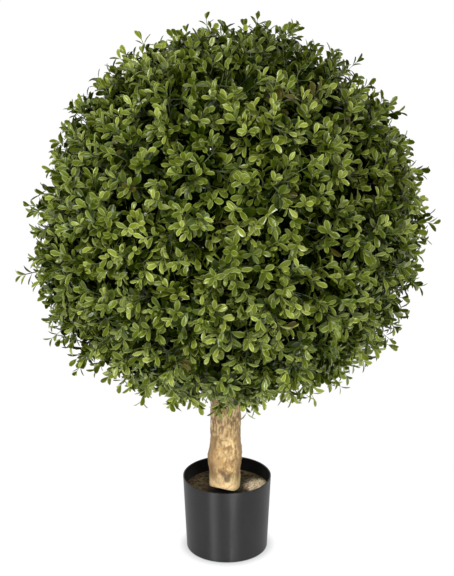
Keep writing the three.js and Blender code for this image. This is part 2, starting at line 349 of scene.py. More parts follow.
def pot_material():
    """Black moulded plastic, with fine turning lines round it that draw its gloss out upwards."""
    material, shader = principled("pot_plastic", (0.014, 0.014, 0.0145), 0.38, 0.36)
    feed(shader["Anisotropic"], 1.0)
    feed(shader["Anisotropic Rotation"], 0.25)
    scuffs = mottle(material, 22, (1, 1, 0.5), 0.45, 0.8)
    colour = mix_colour(material, scuffs, (0.0125, 0.0125, 0.013), (0.017, 0.0166, 0.016))
    feed(shader["Base Color"], colour)
    return material


# The source's seeded rule: where each spray starts, the way it points and how far it reaches
def seeded(seed):
    state = (seed + 1) * DRAW.stride % DRAW.span

    def draw():
        nonlocal state
        state = (state * DRAW.times + DRAW.plus) % DRAW.span
        return state / DRAW.span

    return draw


def across(way, draw):
    loose = np.array([draw() - 0.5, draw() - 0.5, draw() - 0.5])
    return unit(loose - way * loose.dot(way))


def leaning(way, aside, angle):
    return unit(way * math.cos(angle) + aside * math.sin(angle))


def swell(out):
    """How much further the ball reaches that way than a true ball does."""
    return 1 + sum(s.by * math.exp((out.dot(unit(s.way)) - 1) / s.span) for s in SWELLS)


def lattice_way(k, count):
    """The kth of a number of directions spread evenly over a ball."""
    level = 1 - (2 * k + 1) / count
    ring = math.sqrt(max(0, 1 - level * level))
    return np.array([ring * math.cos(GOLDEN * k), ring * math.sin(GOLDEN * k), level])


def spray_plan(k):
    draw = seeded(SPRAY.seed + k)
    stray = STRAYS[k - SPRAY.count] if k >= SPRAY.count else None
    out = unit(stray.way if stray else lattice_way(k, SPRAY.count))
    aside = across(out, draw)
    if not stray:
        out = out + aside * SPRAY.jitter
    side = -1 if out[2] < 0 else 1
    out[2] = side * max(abs(out[2]), EQUATOR)
    out = unit(out)
    aside = across(out, draw)
    way = out if stray else leaning(out, aside, SPRAY.lean * draw())
    if abs(out[2]) < 2 * EQUATOR:
        way = np.array([way[0], way[1], side * abs(way[2])])
    reach = stray.reach * MM if stray else BALL_REACH * swell(out) * (1 + SPRAY.spare * (2 * draw() - 1))
    return Row(out=out, way=unit(way), side=side, reach=reach)


# Trunk: the solid's axis and girth
def trunk_axis(z):
    share = smooth_share((z - TRUNK.foot) / (TRUNK.tip - TRUNK.foot), LEAN_FROM, 1)
    crook = TRUNK.crook * smooth_share(z - TRUNK.foot, TRUNK.crook_from, TRUNK.crook_to)
    return TRUNK.foot_x * (1 - share) + crook, TRUNK.foot_y * (1 - share)


def trunk_radius(z):
    above = z - TRUNK.foot
    bulge = TRUNK.bulge * np.exp(-(((above - TRUNK.bulge_at) / TRUNK.bulge_span) ** 2))
    taper = np.clip(above - TRUNK.taper_from, 0, None) / (TRUNK.tip - TRUNK.foot - TRUNK.taper_from)
    flare = TRUNK.flare * (1 - smooth_share(above, TRUNK.flare_from, TRUNK.flare_to))
    return TRUNK.girth + (TRUNK.tip_girth - TRUNK.girth) * taper + bulge + flare


# Marks on the trunk, in millimetres: turn round it from +X, and height above the foot
EYES = [
    Row(turn=5.27, above=69, size=6.5, dark=1.0),
    Row(turn=4.98, above=92, size=3.6, dark=0.6),
    Row(turn=4.32, above=29, size=3.2, dark=0.7),
    Row(turn=5.27, above=150, size=4.5, dark=0.8),
    Row(turn=0.35, above=62, size=9, dark=0.6),
    Row(turn=2.6, above=92, size=11, dark=0.6),
    Row(turn=1.5, above=34, size=7, dark=0.7),
]
RIBS = [
    Row(start=(5.08, 107), end=(5.62, 82), wide=3, out=1.7),
    Row(start=(4.62, 92), end=(4.95, 78), wide=2.2, out=1.1),
    Row(start=(4.3, 124), end=(4.5, 122), wide=5.5, out=0.9),
    Row(start=(4.2, 22), end=(4.42, 41), wide=2.4, out=1.1),
    Row(start=(4.66, 40), end=(4.42, 24), wide=2.4, out=1.0),
    Row(start=(0.9, 40), end=(1.3, 96), wide=3, out=1.5),
    Row(start=(2.2, 30), end=(1.9, 80), wide=3, out=1.4),
]
CREASES = [
    Row(start=(4.77, 7), end=(5.42, 19), wide=0.9, out=-0.8, dark=0.6),
    Row(start=(3.78, 37), end=(3.8, 57), wide=2.4, out=-0.6, dark=0.6),
    Row(start=(3.95, 92), end=(3.97, 112), wide=2.6, out=-0.6, dark=0.55),
    Row(start=(4.33, 113), end=(4.85, 112), wide=1.8, out=-0.6, dark=0.5),
]
SCAR = Row(
    turn=4.88, above=19, high=31, half=17, spread=0.7, deep=0.8,
    dark=0.85, grain=0.25, ragged=5, ragged_top=0.45, edge=(-2, 4), top_soft=0.4, foot_soft=0.2,
)
SMOOTH_PATCH = Row(turn=4.38, above=64, wide=12, high=9, calm=0.8, grey=0.4)
FOOT_CALM = Row(least=0.25, end=24)
# Painted light on the lowest 44 mm of the trunk, which the pot's wall shades.
FOOT_PAINTED_LIGHT = Row(by=0.5, end=44)
# The pale foot: partly its own cream cut, partly painted light.
FOOT_PALE_AND_PAINTED_LIGHT = Row(start=8, end=34, by=0.95, grain=0.4)
EYE = Row(rings=7, uneven=0.8, out=0.9, pit=1.6, pit_tight=5, dark_at=0.15, dark_tight=4, dark_rings=0.4)
MARK_RIDGE = 0.4
# Painted shade down the trunk's sides, stronger on the left, between two heights.
SIDE_SHADE = Row(start=0.6, end=0.92, low=12, high=42, most=0.85, left=0.1, lumps=0.25, fine=0.15)
# Where the upper trunk turns grey: partly grey bark, partly painted shade under the crown.
UPPER = Row(start=112, end=138, uneven=16, grey=0.45, streaks=1.8)
FLECKS = Row(start=0.05, end=0.45, dark=0.3, upper=0.4)
GREY_PLATES = Row(start=0.2, end=0.35, by=0.25)

# Patterns in the wood: how often each repeats round it and up it, its relief and how pale it is
GRAIN = {
    "bend": (1.6, 14), "lumps": (3.2, 58), "veins": (3.1, 44), "plate": (2.5, 52),
    "fine": (8, 130), "ragged": (5, 60), "streaks": (6, 24), "flecks": (6.5, 95),
}
STANDS_OUT = {"lumps": 1.1, "veins": 1.2, "fine": 0.45, "plate": 0.25, "seam": -0.3}
PALENESS = {"lumps": 0.95, "veins": 0.75, "fine": 0.75, "plate": 0.25, "seam": -0.2}
PLAIN_RIDGE = 0.38
BEND_BY = 0.5
PLATE_TONES = 3.7
SEAM_WIDE = 0.12
FRACTAL = Row(rough=0.8, step=2.1)


def fractal(place, octaves=4):
    return noise.fractal(Vector(place), FRACTAL.rough, FRACTAL.step, octaves)


def grain_place(name, place, shift=(0, 0, 0)):
    """Where a place on the trunk's face lies in one of the wood's patterns."""
    often_round, often_up = GRAIN[name]
    x, y, above = place
    return Vector((often_round * x + shift[0], often_round * y + shift[1], often_up * above + shift[2]))


def wood_patterns(place):
    """The wood's lumps, veins, fine grain and plates, and the seams between the plates."""
    bend = BEND_BY * fractal(grain_place("bend", place, (5, 0, 0)), 2)
    gaps, seeds = noise.voronoi(grain_place("plate", place, (bend, 0, bend)))
    return {
        "lumps": fractal(grain_place("lumps", place, (bend, 0, bend))),
        "veins": 0.5 - abs(noise.noise(grain_place("veins", place, (0, bend, 0)))),
        "fine": fractal(grain_place("fine", place), 3),
        "plate": noise.noise(PLATE_TONES * seeds[0]),
        "seam": max(0.0, 1 - (gaps[1] - gaps[0]) / SEAM_WIDE),
    }


def turn_gap(turn, other):
    return math.atan2(math.sin(turn - other), math.cos(turn - other))


def round_gap(turn, other):
    """Millimetres round the trunk's face from one turn to another."""
    return turn_gap(turn, other) * TRUNK.girth / MM


def near_line(turn, above, line):
    """1 on a short line along the trunk's face, falling to 0 at its width."""
    start_turn, start_above = line.start
    end_turn, end_above = line.end
    run = np.array([round_gap(end_turn, start_turn), end_above - start_above])
    here = np.array([round_gap(turn, start_turn), above - start_above])
    share = min(1.0, max(0.0, here.dot(run) / run.dot(run)))
    gap = np.linalg.norm(here - share * run) / line.wide
    return math.exp(-gap * gap)


def smooth_patch(turn, above):
    """1 on the smooth patch at the front of the bulge, falling to 0 round it."""
    beside = round_gap(turn, SMOOTH_PATCH.turn) / SMOOTH_PATCH.wide
    over = (above - SMOOTH_PATCH.above) / SMOOTH_PATCH.high
    return math.exp(-(math.hypot(beside, over) ** 4))


def scar_share(turn, above, ragged):
    """1 in the dark scar low on the front, which widens upwards to a ragged edge."""
    rise = (above - SCAR.above) / SCAR.high
    half = SCAR.half * max(0.0, rise) ** SCAR.spread
    within = half - abs(round_gap(turn, SCAR.turn)) + SCAR.ragged * ragged
    top = smooth_share(1.0 - rise + SCAR.ragged_top * ragged, 0, SCAR.top_soft)
    return smooth_share(within, *SCAR.edge) * top * smooth_share(rise, 0, SCAR.foot_soft)


def trunk_face(turn, above):
    """How far the wood stands out at a place, and its shares of the colours."""
    x = math.cos(turn)
    place = (x, math.sin(turn), above)
    above = above / MM
    patterns = wood_patterns(place)
    lumps, fine = patterns["lumps"], patterns["fine"]
    smooth = smooth_patch(turn, above)
    calm = 1 - SMOOTH_PATCH.calm * smooth
    calm *= FOOT_CALM.least + (1 - FOOT_CALM.least) * min(1.0, above / FOOT_CALM.end)
    out = calm * sum(STANDS_OUT[name] * value for name, value in patterns.items())
    ridge = PLAIN_RIDGE + calm * sum(PALENESS[name] * value for name, value in patterns.items())
    # Painted light on the low trunk, which the pot's wall keeps in shade.
    ridge += FOOT_PAINTED_LIGHT.by * max(0.0, 1 - above / FOOT_PAINTED_LIGHT.end)
    # The foot paler: partly its cream cut, partly painted light where the pot shades it.
    pale = 1 - share_past(above, FOOT_PALE_AND_PAINTED_LIGHT)
    pale *= FOOT_PALE_AND_PAINTED_LIGHT.by + FOOT_PALE_AND_PAINTED_LIGHT.grain * fine
    knot = 0.0
    for eye in EYES:
        gap = math.hypot(round_gap(turn, eye.turn), above - eye.above) / eye.size
        rings = math.cos(EYE.rings * gap + EYE.uneven * lumps) * math.exp(-gap * gap / 2)
        out += EYE.out * rings - EYE.pit * math.exp(-EYE.pit_tight * gap * gap)
        ridge += MARK_RIDGE * rings
        dark = 1 - EYE.dark_rings + EYE.dark_rings * math.cos(EYE.rings * gap)
        dark *= math.exp(-EYE.dark_tight * (gap - EYE.dark_at) ** 2)
        knot = max(knot, eye.dark * dark)
    for line in RIBS + CREASES:
        near = near_line(turn, above, line)
        out += near * line.out
        if line.out > 0:
            ridge += MARK_RIDGE * near
        else:
            knot = max(knot, near * line.dark)
    scar = scar_share(turn, above, fractal(grain_place("ragged", place)))
    out -= SCAR.deep * scar
    knot = max(knot, (SCAR.dark + SCAR.grain * fine) * scar)
    # Painted shade: the sides, the left more, darker where the light falls off round the trunk.
    aside = abs(x) + SIDE_SHADE.left * (1 - math.tanh(4 * x))
    aside += SIDE_SHADE.lumps * lumps + SIDE_SHADE.fine * fine
    painted_side_shade = share_past(aside, SIDE_SHADE)
    painted_side_shade *= SIDE_SHADE.most * smooth_share(above, SIDE_SHADE.low, SIDE_SHADE.high)
    # The upper trunk turns grey: partly grey bark, partly painted shade where the crown shadows it.
    upper = share_past(above + UPPER.uneven * lumps, UPPER)
    grey = upper * (UPPER.grey + UPPER.streaks * fractal(grain_place("streaks", place, (9, 0, 0))))
    flecks = fractal(grain_place("flecks", place, (0, 3, 0)), 3)
    dark_flecks = share_past(flecks, FLECKS)
    pale_flecks = share_past(-flecks, FLECKS)
    knot = max(knot, (FLECKS.dark + FLECKS.upper * upper) * (1 - pale) * dark_flecks)
    pale = max(pale, FLECKS.upper * upper * pale_flecks)
    plates = share_past(-patterns["plate"], GREY_PLATES)
    grey = max(grey, SMOOTH_PATCH.grey * smooth, GREY_PLATES.by * plates)
    shares = {"ridge": ridge, "pale": pale, "painted_side_shade": painted_side_shade, "grey": grey, "knot": knot}
    return out * MM, {name: min(1.0, max(0.0, share)) for name, share in shares.items()}


TRUNK_SIDES = 160
SHOWN = Row(end=190 * MM, step=1.3 * MM)
HIDDEN = Row(start=200 * MM, rings=36)
WORN_EDGE = Row(by=1.2 * MM, span=2 * MM)
END_SHARE = 0.5
FOOT_CUT = Row(turn=4.25, half=1.21, lift=8.5 * MM, span=40 * MM, round=1.2)


def foot_lift(turn, above):
    """How far the slanting cut at the left front of the foot lifts the wood."""
    gap = abs(turn_gap(turn, FOOT_CUT.turn))
    facing = math.cos(0.5 * math.pi * min(1.0, gap / FOOT_CUT.half))
    return FOOT_CUT.lift * facing ** FOOT_CUT.round * max(0.0, 1 - above / FOOT_CUT.span)


def make_trunk():
    """The trunk with the wood's relief, in close rings where it shows and wide ones inside the ball."""
    shown = np.arange(TRUNK.foot, TRUNK.foot + SHOWN.end, SHOWN.step)
    hidden = np.linspace(TRUNK.foot + HIDDEN.start, TRUNK.tip, HIDDEN.rings)
    heights = np.concatenate([shown, hidden])
    places, faces = [], []
    for z in heights:
        centre_x, centre_y = trunk_axis(z)
        above = z - TRUNK.foot
        worn = WORN_EDGE.by * math.exp(-above / WORN_EDGE.span)
        for turn in turns_round(TRUNK_SIDES):
            lift = foot_lift(turn, above)
            relief, face = trunk_face(turn, above + lift)
            radius = trunk_radius(z + lift) + relief - worn
            x = centre_x + radius * math.cos(turn)
            y = centre_y + radius * math.sin(turn)
            places.append((x, y, z + lift))
            faces.append(face)
    ends = [(*trunk_axis(TRUNK.foot), TRUNK.foot), (*trunk_axis(TRUNK.tip), TRUNK.tip)]
    triangles = closed_triangles(len(heights), TRUNK_SIDES)
    trunk = mesh_object("trunk_bark", places + ends, triangles, [wood_material()])
    for name in faces[0]:
        add_share(trunk, name, [face[name] for face in faces] + [END_SHARE, END_SHARE])
    return trunk


# Pot and fill
POT_SIDES = 160
POT_STEPS = Row(foot=6, wall=14, lip=9, inside=8)
SOIL_SIDES = 120
SOIL_RINGS = 46
SOIL_LEVEL = SOIL.top - 1.5 * MM
SOIL_WAVES = Row(often=28, high=1.6 * MM, level=1.7, octaves=4)
SOIL_LUMPS = Row(often=160, high=0.8 * MM, level=4.1, octaves=3)
# The pale sand patch, whose paleness is partly painted light.
SAND_AND_LIGHT = Row(x=63 * MM, y=9 * MM, long=28 * MM, wide=31 * MM, uneven=0.4, often=60, level=9,
           strong=2.6, edge=0.7)
# The dip at the left front of the trunk's foot, which also carries a painted black shadow.
FOOT_DIP_AND_SHADOW = Row(turn=4.5, under=2 * MM, span=17 * MM, deep=7 * MM, behind=0.3, full=1.6)


def pot_radius(z):
    return POT.base + (POT.rim - POT.base) * z / POT.height


SOIL_EDGE = pot_radius(SOIL.top) - POT.wall - SOIL.gap


def make_pot():
    """A closed round shell from pairs of radius and height, with another, darker finish from inside its
    lip on: painted shade.
    """
    top, lip, foot = POT.height, POT.wall / 2, POT.foot_round
    profile = [(POT.base - 3 * foot, 0), (POT.base - foot, 0)]
    for step in np.linspace(0, math.pi / 2, POT_STEPS.foot)[1:]:
        rise = foot * (1 - math.cos(step))
        profile.append((pot_radius(rise) - foot + foot * math.sin(step), rise))
    for z in np.linspace(foot, top - lip, POT_STEPS.wall)[1:]:
        profile.append((pot_radius(z), z))
    middle = pot_radius(top) - lip
    for step in np.linspace(0, math.pi, POT_STEPS.lip)[1:-1]:
        profile.append((middle + lip * math.cos(step), top - lip + lip * math.sin(step)))
    inside_from = len(profile) * POT_SIDES
    for z in np.linspace(top - lip, POT.floor, POT_STEPS.inside):
        profile.append((pot_radius(z) - POT.wall, z))
    turns = turns_round(POT_SIDES)
    rings = [np.stack([r * np.cos(turns), r * np.sin(turns), 0 * turns + z], -1) for r, z in profile]
    places = np.concatenate([*rings, [(0, 0, 0), (0, 0, POT.floor)]])
    triangles = closed_triangles(len(profile), POT_SIDES)
    # The inside is a darker, matte copy of the black plastic: painted shade.
    finishes = [pot_material(), principled("pot_inside_shaded", (0.006, 0.006, 0.006), 0.7, 0.15)[0]]
    return mesh_object("pot_shell", places, triangles, finishes, triangles.min(1) >= inside_from)


def foot_dip_and_shadow(x, y):
    """1 in the dip at the left front of the trunk's foot, falling to 0 away from it; it sinks the soil and
    carries a painted shadow.
    """
    from_x, from_y = x - TRUNK.foot_x, y - TRUNK.foot_y
    gap = max(0.0, math.hypot(from_x, from_y) - TRUNK.girth + FOOT_DIP_AND_SHADOW.under) / FOOT_DIP_AND_SHADOW.span
    facing = math.cos(math.atan2(from_y, from_x) - FOOT_DIP_AND_SHADOW.turn)
    facing = max(0.0, FOOT_DIP_AND_SHADOW.behind + (1 - FOOT_DIP_AND_SHADOW.behind) * facing)
    return min(1.0, FOOT_DIP_AND_SHADOW.full * facing * math.exp(-gap * gap))


def soil_height(x, y):
    """Height of the gritty top above the fill's level."""
    height = -FOOT_DIP_AND_SHADOW.deep * foot_dip_and_shadow(x, y)
    for bumps in (SOIL_WAVES, SOIL_LUMPS):
        place = (bumps.often * x, bumps.often * y, bumps.level)
        height += bumps.high * fractal(place, bumps.octaves)
    return height


def sandy(x, y):
    """Share of pale sand, its paleness partly painted light: a patch to the right of the trunk."""
    patch = math.exp(-(((x - SAND_AND_LIGHT.x) / SAND_AND_LIGHT.long) ** 2) - (((y - SAND_AND_LIGHT.y) / SAND_AND_LIGHT.wide) ** 2))
    uneven = SAND_AND_LIGHT.uneven * fractal((SAND_AND_LIGHT.often * x, SAND_AND_LIGHT.often * y, SAND_AND_LIGHT.level), 3)
    return max(0.0, min(1.0, SAND_AND_LIGHT.strong * patch - SAND_AND_LIGHT.edge + uneven))


def gritty_rings(radii, sides):
    """Places in rings on the gritty top, which is level where it meets the pot."""
    places = []
    for radius in radii:
        calm = min(1.0, (SOIL_EDGE - radius) / SOIL.calm)
        for turn in turns_round(sides):
            x, y = radius * math.cos(turn), radius * math.sin(turn)
            places.append((x, y, SOIL_LEVEL + soil_height(x, y) * calm))
    return places


def make_soil():
    """The fill: a gritty top in rings from the middle out, and a plain side and underside."""
    low = POT.floor + SOIL.gap
    base = pot_radius(low) - POT.wall - SOIL.gap
    places = gritty_rings(np.linspace(SOIL_EDGE / SOIL_RINGS, SOIL_EDGE, SOIL_RINGS), SOIL_SIDES)
    places += [(base * math.cos(turn), base * math.sin(turn), low) for turn in turns_round(SOIL_SIDES)]
    places += [(0, 0, SOIL_LEVEL), (0, 0, low)]
    triangles = closed_triangles(SOIL_RINGS + 1, SOIL_SIDES)[:, ::-1]
    soil = mesh_object("gritty_top", places, triangles, [soil_material()])
    for name, share in (("sand_and_light", sandy), ("painted_foot_shadow", foot_dip_and_shadow)):
        add_share(soil, name, [share(x, y) for x, y, _ in places])
    return soil


# Pieces made by Geometry Nodes
def paint_tree(tree, start, end, geometry):
    """Finish a tree: what it made becomes plain mesh and takes the material."""
    real = add_node(tree, "GeometryNodeRealizeInstances", {"Geometry": geometry})["Geometry"]
    painted = {"Geometry": real, "Material": start["Material"]}
    feed(end, add_node(tree, "GeometryNodeSetMaterial", painted)["Geometry"])


def run_tree(name, maker, tree, names, values):
    """The plain mesh object that the tree makes from another object, which goes."""
    modifier = maker.modifiers.new("make", "NODES")
    modifier.node_group = tree
    for label, value in values.items():
        modifier[names[label]] = value
    ready = maker.evaluated_get(bpy.context.evaluated_depsgraph_get())
    made = bpy.data.meshes.new_from_object(ready)
    made.name = name
    bpy.data.objects.remove(maker)
    return placed(name, made)


def ball_frame_tree():
    """Half a ball of thin six-sided mesh with a hole round the trunk."""
    inputs = {"Geometry": "Geometry", "Side": "Float", "Material": "Material"}
    tree, start, end, names = new_tree("ball_frame", "GeometryNodeTree", inputs, "Geometry")
    add = partial(add_node, tree)

    def less(value, limit):
        return add("FunctionNodeCompare", {"A": value, "B": limit}, operation="LESS_THAN")["Result"]

    def either(kind, first, second):
        return add("FunctionNodeBooleanMath", {0: first, 1: second}, operation=kind)["Boolean"]

    def without(geometry, faces):
        given = {"Geometry": geometry, "Selection": faces}
        return add("GeometryNodeDeleteGeometry", given, domain="FACE")["Geometry"]

    ball = add("GeometryNodeMeshIcoSphere", {"Subdivisions": 5, "Radius": NET.radius})["Mesh"]
    cells = add("GeometryNodeDualMesh", {"Mesh": ball})["Dual Mesh"]
    place = add("GeometryNodeInputPosition", {})["Position"]
    flat = add("ShaderNodeVectorMath", {0: place, 1: (1, 1, 0)}, operation="MULTIPLY")["Vector"]
    apart = add("ShaderNodeVectorMath", {0: flat}, operation="LENGTH")["Value"]
    z = add("ShaderNodeSeparateXYZ", {0: place})["Z"]
    trunk_hole = either("AND", less(apart, NET.hole), less(z, 0.0))
    height = add("ShaderNodeMath", {0: z, 1: start["Side"]}, operation="MULTIPLY")["Value"]
    half = without(cells, either("OR", trunk_hole, less(height, 0.0)))
    inset = add("GeometryNodeExtrudeMesh", {"Mesh": half, "Offset Scale": 0})
    shrunk = {"Geometry": inset["Mesh"], "Selection": inset["Top"], "Scale": NET_OPEN}
    net = without(add("GeometryNodeScaleElements", shrunk)["Geometry"], inset["Top"])
    raised = {"Mesh": net, "Offset Scale": NET.thick, "Individual": False}
    outer = add("GeometryNodeExtrudeMesh", raised)["Mesh"]
    inner = add("GeometryNodeFlipFaces", {"Mesh": net})["Mesh"]
    both = tree.nodes.new("GeometryNodeJoinGeometry")
    for skin in (outer, inner):
        feed(both.inputs["Geometry"], skin)
    merged = {"Geometry": both.outputs["Geometry"], "Distance": 0.01 * MM}
    closed = add("GeometryNodeMergeByDistance", merged)["Geometry"]
    moved = {"Geometry": closed, "Translation": tuple(BALL_CENTRE)}
    paint_tree(tree, start, end, add("GeometryNodeTransform", moved)["Geometry"])
    return tree, names


def make_ball_frames():
    tree, names = ball_frame_tree()
    bump = (400, 0.3, 0.3 * MM)
    plastic = principled("ball_frame_plastic", (0.003, 0.006, 0.001), 0.95, 0.0, bump)[0]
    frames = []
    for half, side in (("lower", -1.0), ("upper", 1.0)):
        name = f"ball_frame_{half}"
        seed = placed(name + "_seed", bpy.data.meshes.new(name + "_seed"))
        frames.append((run_tree(name, seed, tree, names, {"Side": side, "Material": plastic}), half))
    return frames


GRITS = [
    # The pale grit on the sand is partly painted light too.
    Row(name="pale_grit", sandy=True, dark=(0.26, 0.2, 0.14), pale=(0.92, 0.8, 0.62),
        strewn={"Density": 70000.0, "Small": 0.6 * MM, "Large": 1.9 * MM, "Seed": 3}),
    Row(name="dark_crumbs", sandy=False, dark=(0.01, 0.0075, 0.0035), pale=(0.12, 0.094, 0.05),
        strewn={"Density": 60000.0, "Small": 0.4 * MM, "Large": 1.4 * MM, "Seed": 4}),
]
GRIT_BED = Row(sides=96, rings=24, inner=38 * MM, wall_gap=4 * MM, sand_from=0.45)
GRIT_FINISH = (210, 0.85, 0.3, (1500, 0.5, 0.3 * MM))
STONE = Row(shape=(1.0, 0.75, 0.6), turns=(6.28, 6.28, 6.28))


def grit_tree():
    """Small stones strewn over a surface and turned at random."""
    inputs = {"Geometry": "Geometry", "Material": "Material", "Seed": "Int"}
    inputs.update(dict.fromkeys(("Density", "Small", "Large"), "Float"))
    tree, start, end, names = new_tree("grit", "GeometryNodeTree", inputs, "Geometry")
    add = partial(add_node, tree)
    strewn = {"Mesh": start["Geometry"], "Density": start["Density"], "Seed": start["Seed"]}
    points = add("GeometryNodeDistributePointsOnFaces", strewn)["Points"]
    stone = add("GeometryNodeMeshIcoSphere", {"Radius": 1, "Subdivisions": 1})["Mesh"]
    stone = add("GeometryNodeTransform", {"Geometry": stone, "Scale": STONE.shape})["Geometry"]
    turned = {"Max": STONE.turns, "Seed": start["Seed"]}
    turn = add("FunctionNodeRandomValue", turned, data_type="FLOAT_VECTOR")["Value"]
    sized = {"Min": start["Small"], "Max": start["Large"], "Seed": start["Seed"]}
    size = add("FunctionNodeRandomValue", sized, data_type="FLOAT")["Value"]
    put = {"Points": points, "Instance": stone, "Rotation": turn, "Scale": size}
    paint_tree(tree, start, end, add("GeometryNodeInstanceOnPoints", put)["Instances"])
    return tree, names


def make_grits():
    """Stones on the gritty top, off the trunk's foot and the pot's wall, pale ones, partly painted light,
    on the sand.
    """
    outer = pot_radius(SOIL.top) - POT.wall - GRIT_BED.wall_gap
    places = gritty_rings(np.linspace(GRIT_BED.inner, outer, GRIT_BED.rings), GRIT_BED.sides)
    triangles = ring_triangles(GRIT_BED.rings, GRIT_BED.sides)[:, ::-1]
    sand_and_light = np.array([sandy(x, y) for x, y, _ in places])
    on_sand = sand_and_light[triangles].mean(1) > GRIT_BED.sand_from
    tree, names = grit_tree()
    grits = []
    for grit in GRITS:
        bed = mesh_object(grit.name + "_bed", places, triangles[on_sand == grit.sandy], [])
        paint = mottled_material(grit.name, grit.dark, grit.pale, *GRIT_FINISH)
        grits.append(run_tree(grit.name, bed, tree, names, {**grit.strewn, "Material": paint}))
    return grits


# Foliage: stems from the source's sprays, finer boughs and twigs from the stems, leaves in crossed pairs
def on_line(line, share):
    """(place, direction) on a bent line."""
    a, b, c = line
    place = (1 - share) ** 2 * a + 2 * share * (1 - share) * b + share**2 * c
    return place, unit(2 * (1 - share) * (b - a) + 2 * share * (c - b))


def cross_ways(way):
    """Two directions square to a third and to each other."""
    aside = unit(np.cross(way, LOOSE_WAY))
    return aside, np.cross(way, aside)


def grow_stems(rand):
    """The source's sprays: each a bent line of three points, with its reach, girth, half and tone."""
    stems = []
    for k in range(SPRAY.count + len(STRAYS)):
        plan = spray_plan(k)
        start = BALL_CENTRE + plan.out * (NET.radius - STEMS.sunk)
        length = plan.reach - NET.radius - STEMS.short
        middle = start + plan.way * 0.5 * length + rand.normal(0, TWIG.bend, 3)
        stems.append(Row(
            line=(start, middle, start + plan.way * length), girth=STEMS.girth,
            reach=plan.reach, side=plan.side, tone=rand.uniform(0, 1),
            bare=STEMS.bare, hue=1.0, wide=STEMS.wide,
        ))
    return stems


def grow_from(parents, kind, rand):
    """Finer wood on its nearest parent: it leaves sideways, turns outwards and ends short of the reach."""
    heads = unit(np.array([parent.line[2] for parent in parents]) - BALL_CENTRE)
    children = []
    for j in range(kind.count):
        aim = unit(lattice_way(j, kind.count) + rand.normal(0, kind.jitter, 3))
        nearest = np.argmax(heads @ aim)
        parent = parents[nearest]
        aim = unit(aim + kind.clump * (heads[nearest] - aim))
        swelling = swell(aim) / swell(heads[nearest])
        reach = parent.reach * swelling * (1 + kind.spare * rand.uniform(-1, 1))
        reach = min(reach, BALL_REACH * swell(aim) * FURTHEST)
        depth = kind.depth * rand.uniform(0, 1) ** DEPTH_BIAS
        tip = BALL_CENTRE + aim * (reach - kind.short - depth)
        aside = np.linalg.norm(np.cross(aim, heads[nearest])) * BALL_REACH
        share = FORK.at - aside / FORK.back + rand.normal(0, FORK.spare)
        root = on_line(parent.line, np.clip(share, FORK.least, FORK.most))[0]
        axial = aim * (tip - root).dot(aim)
        sideways = SIDEWAYS_FIRST * (tip - root - axial)
        middle = root + sideways + (1 - SIDEWAYS_FIRST) * axial + rand.normal(0, TWIG.bend, 3)
        tone = PARENT_TONE * parent.tone + (1 - PARENT_TONE) * rand.uniform(0, 1)
        children.append(Row(
            line=(root, middle, tip), girth=kind.girth, reach=reach, side=parent.side,
            tone=np.clip(tone, 0, 1) - kind.shade, bare=TWIG.bare,
            hue=rand.uniform(0, 1), wide=kind.wide,
        ))
    return children


def grow_skirt(rand):
    """Sprigs round the trunk that hang from the lower frame and turn outwards below the ball."""
    sprigs = []
    for k in range(SKIRT.count):
        turn = SKIRT.turn + TURN * k / SKIRT.count
        line = []
        for apart, below in SKIRT.line:
            place = (apart * math.cos(turn), apart * math.sin(turn), -below)
            line.append(BALL_CENTRE + place + rand.uniform(-0.5, 0.5, 3) * SKIRT.spare)
        sprigs.append(Row(
            line=tuple(line), girth=SKIRT.girth, reach=BALL_REACH, side=-1, tone=SKIRT.tone,
            bare=SKIRT.bare, hue=1.0, wide=SKIRT.wide,
        ))
    return sprigs


def grow_twigs():
    rand = np.random.default_rng(TWIG.seed)
    stems = grow_stems(rand)
    boughs = grow_from(stems[:SPRAY.count], BOUGHS, rand)
    finer = [grow_from(boughs, kind, rand) for kind in (TWIGS, SPRIGS, INNER_TWIGS)]
    return stems + boughs + sum(finer, []) + grow_skirt(rand)


def clear_of_trunk(place):
    if place[2] > BALL_CENTRE[2]:
        return True
    x, y = trunk_axis(place[2])
    return math.hypot(place[0] - x, place[1] - y) > trunk_radius(place[2]) + LEAF.room


def leaf_tone(twig, place, young, pair):
    """How light a leaf is, but for chance: by its twig and its age, with painted light on the leaves that
    hang low.
    """
    low = (BALL_CENTRE[2] - place[2]) / BALL_REACH
    tone = LEAF_TONE.least + LEAF_TONE.twig * twig.tone + LEAF_TONE.young * young
    tone -= LEAF_TONE.older * max(0, pair - 1)
    # Painted light: the lowest leaves brighter, standing in for light from below.
    return tone + PAINTED_LIGHT_BELOW.by * share_past(low, PAINTED_LIGHT_BELOW)


